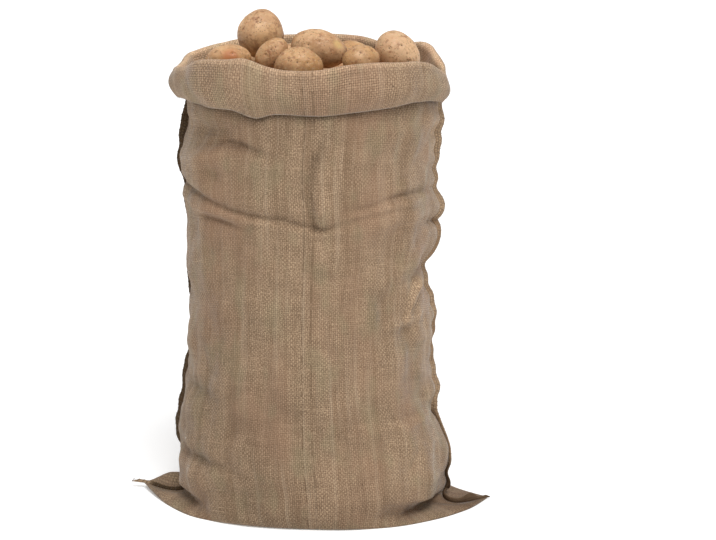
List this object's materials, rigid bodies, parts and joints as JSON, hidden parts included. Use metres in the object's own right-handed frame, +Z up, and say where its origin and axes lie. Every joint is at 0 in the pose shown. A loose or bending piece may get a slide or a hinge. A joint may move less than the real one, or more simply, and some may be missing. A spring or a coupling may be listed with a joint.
{
  "type": "hessian sack of potatoes",
  "caption": "Upright burlap sack, open at the top with its mouth turned down outside as a cuff, filled with potatoes that heap above the rim; sewn flanges run up both sides to eared base corners.",
  "frame": {"origin": "on the floor under the middle of the base fold", "axes": "+Z up; +X from the left seam to the right seam as seen from the front; +Y to the back, so the front panel faces -Y"},
  "size_m": [0.5858, 0.3759, 0.7881],
  "materials": {
    "hessian": "dry plain-weave jute in undyed grey-brown, with darker and lighter yarns and bits of bark",
    "selvedge": "doubled jute selvedges overcast with darker brown jute twine",
    "potato_skin": "smooth dry yellow-tan potato skin with brown eyes, specks and some soil",
    "hidden_load": "potatoes in shade"
  },
  "bodies": {
    "root": {"sack_cloth": "hessian", "side_seam_left": "selvedge", "side_seam_right": "selvedge", "potato_filling": "hidden_load", "potato_01": "potato_skin", "potato_02": "potato_skin", "potato_03": "potato_skin", "potato_04": "potato_skin", "potato_05": "potato_skin", "potato_06": "potato_skin", "potato_07": "potato_skin", "potato_08": "potato_skin", "potato_09": "potato_skin", "potato_10": "potato_skin", "potato_11": "potato_skin", "potato_12": "potato_skin", "potato_13": "potato_skin", "potato_14": "potato_skin", "potato_15": "potato_skin", "potato_16": "potato_skin", "potato_17": "potato_skin", "potato_18": "potato_skin", "potato_19": "potato_skin", "potato_20": "potato_skin", "potato_21": "potato_skin", "potato_22": "potato_skin"}
  },
  "joints": []
}
